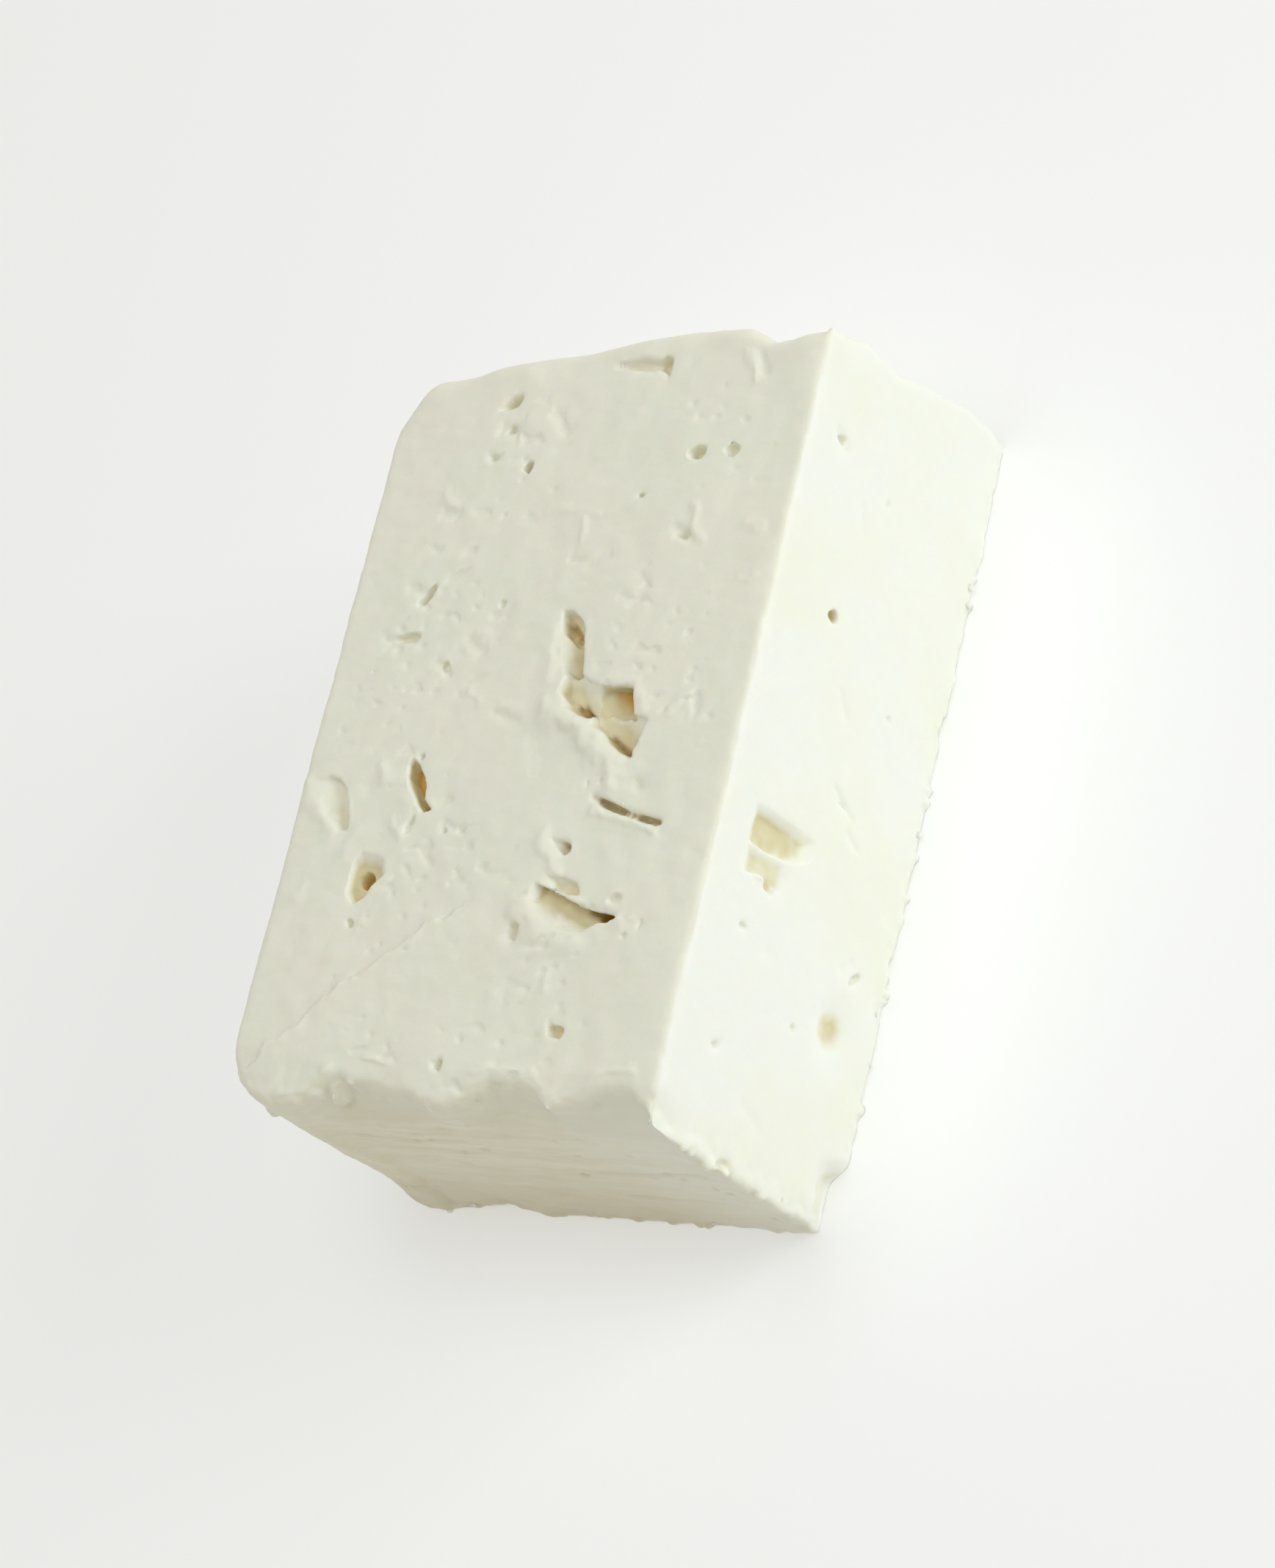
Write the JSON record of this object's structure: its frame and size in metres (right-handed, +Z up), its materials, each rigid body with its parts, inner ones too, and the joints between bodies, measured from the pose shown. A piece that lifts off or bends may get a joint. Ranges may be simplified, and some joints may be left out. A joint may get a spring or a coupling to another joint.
{
  "type": "feta block",
  "caption": "Block of crumbly brined white cheese lying flat, with rounded moulded corners, one crisp cut side and angular pits in its faces.",
  "frame": {"origin": "middle of the box round the block, on the flat face that it lies on", "axes": "+X along the block to its far end, +Y from the crisp cut side to the rounded moulded side, +Z up, out of the pitted face"},
  "size_m": [0.114, 0.079, 0.04],
  "materials": {
    "curd": "moist off-white curd, soft sheen, slightly see-through at the edges, creamier inside the pits"
  },
  "bodies": {
    "root": {"feta_block": "curd"}
  },
  "joints": []
}
